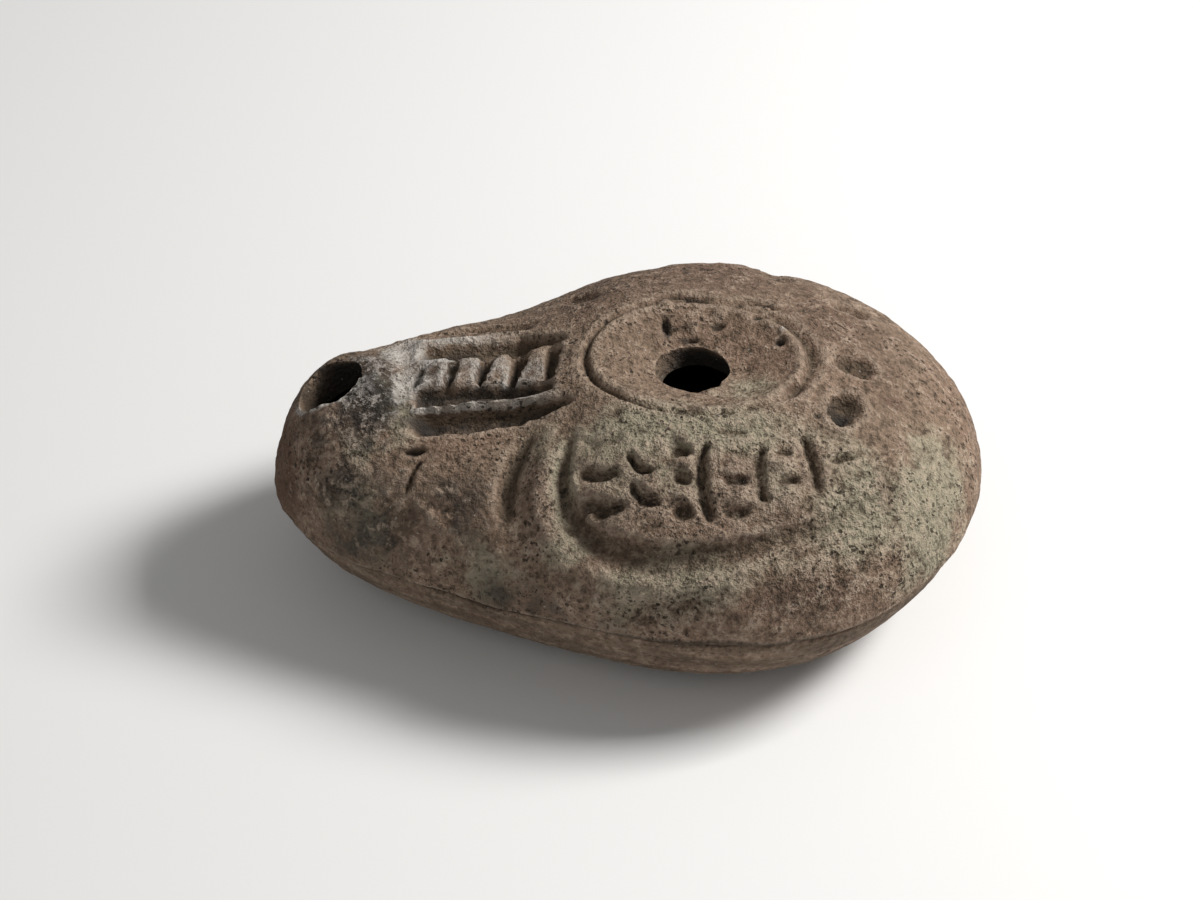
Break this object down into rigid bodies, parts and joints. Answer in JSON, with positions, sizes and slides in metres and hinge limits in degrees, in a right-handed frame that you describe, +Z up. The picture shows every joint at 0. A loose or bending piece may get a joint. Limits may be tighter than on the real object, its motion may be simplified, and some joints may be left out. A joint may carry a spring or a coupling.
{
  "type": "roman oil lamp",
  "caption": "Hollow mould-made clay oil lamp, pear-shaped, with a wick nozzle, a dished filling hole, a ribbed channel and a relief panel on its shoulder",
  "frame": {"origin": "on the flat base, under the middle of the lamp's length and width", "axes": "+Z up, -X towards the nozzle and +X towards the round back, +Y across the lamp"},
  "size_m": [0.092, 0.068, 0.0338],
  "materials": {
    "fired_clay": "unglazed buff terracotta, worn, with pits, pale lime crust and soot at the nozzle"
  },
  "bodies": {
    "root": {"lamp": "fired_clay"}
  },
  "joints": []
}
